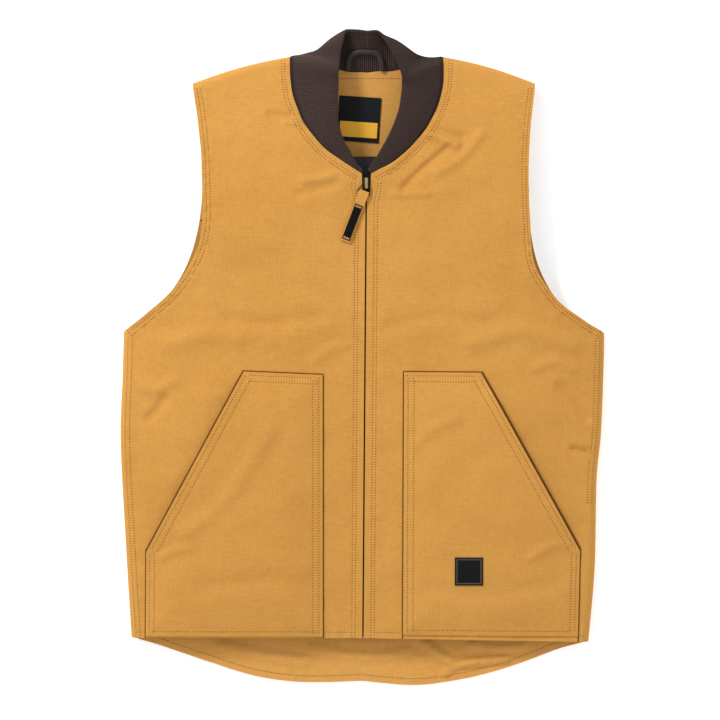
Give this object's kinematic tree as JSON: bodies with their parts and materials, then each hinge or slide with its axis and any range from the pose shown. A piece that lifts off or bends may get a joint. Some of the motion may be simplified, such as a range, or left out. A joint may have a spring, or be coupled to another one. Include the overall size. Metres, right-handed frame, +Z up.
{
  "type": "utility work vest",
  "caption": "Duck canvas work vest with a rib-knit stand collar, full front zip, slanted patch pockets, quilted lining and a drop tail, laid flat on its back.",
  "frame": {"origin": "on the surface that the vest lies on, under the middle of the whole vest", "axes": "+X towards the wearer's left, +Y from the hem to the collar, +Z up, out of the vest's front"},
  "size_m": [0.579, 0.7878, 0.0481],
  "materials": {
    "duck": "matte",
    "duck_facing": "matte",
    "rib_knit": "matte",
    "lining": "satin",
    "woven_label": "matte",
    "zip_tape": "matte",
    "zip_metal": "satin"
  },
  "bodies": {
    "root": {"front_right": "duck", "front_left": "duck", "back_panel": "duck", "pocket_right": "duck", "pocket_left": "duck", "pull_strap": "duck", "neck_facing": "duck_facing", "tail_facing": "duck_facing", "collar": "rib_knit", "lining_back": "lining", "lining_right": "lining", "lining_left": "lining", "hanger_loop": "lining", "neck_label": "woven_label", "pocket_label": "woven_label", "pull_label": "woven_label", "zip_tape_right": "zip_tape", "zip_tape_left": "zip_tape", "zip_teeth": "zip_metal", "zip_slider": "zip_metal", "zip_puller": "zip_metal"}
  },
  "joints": []
}
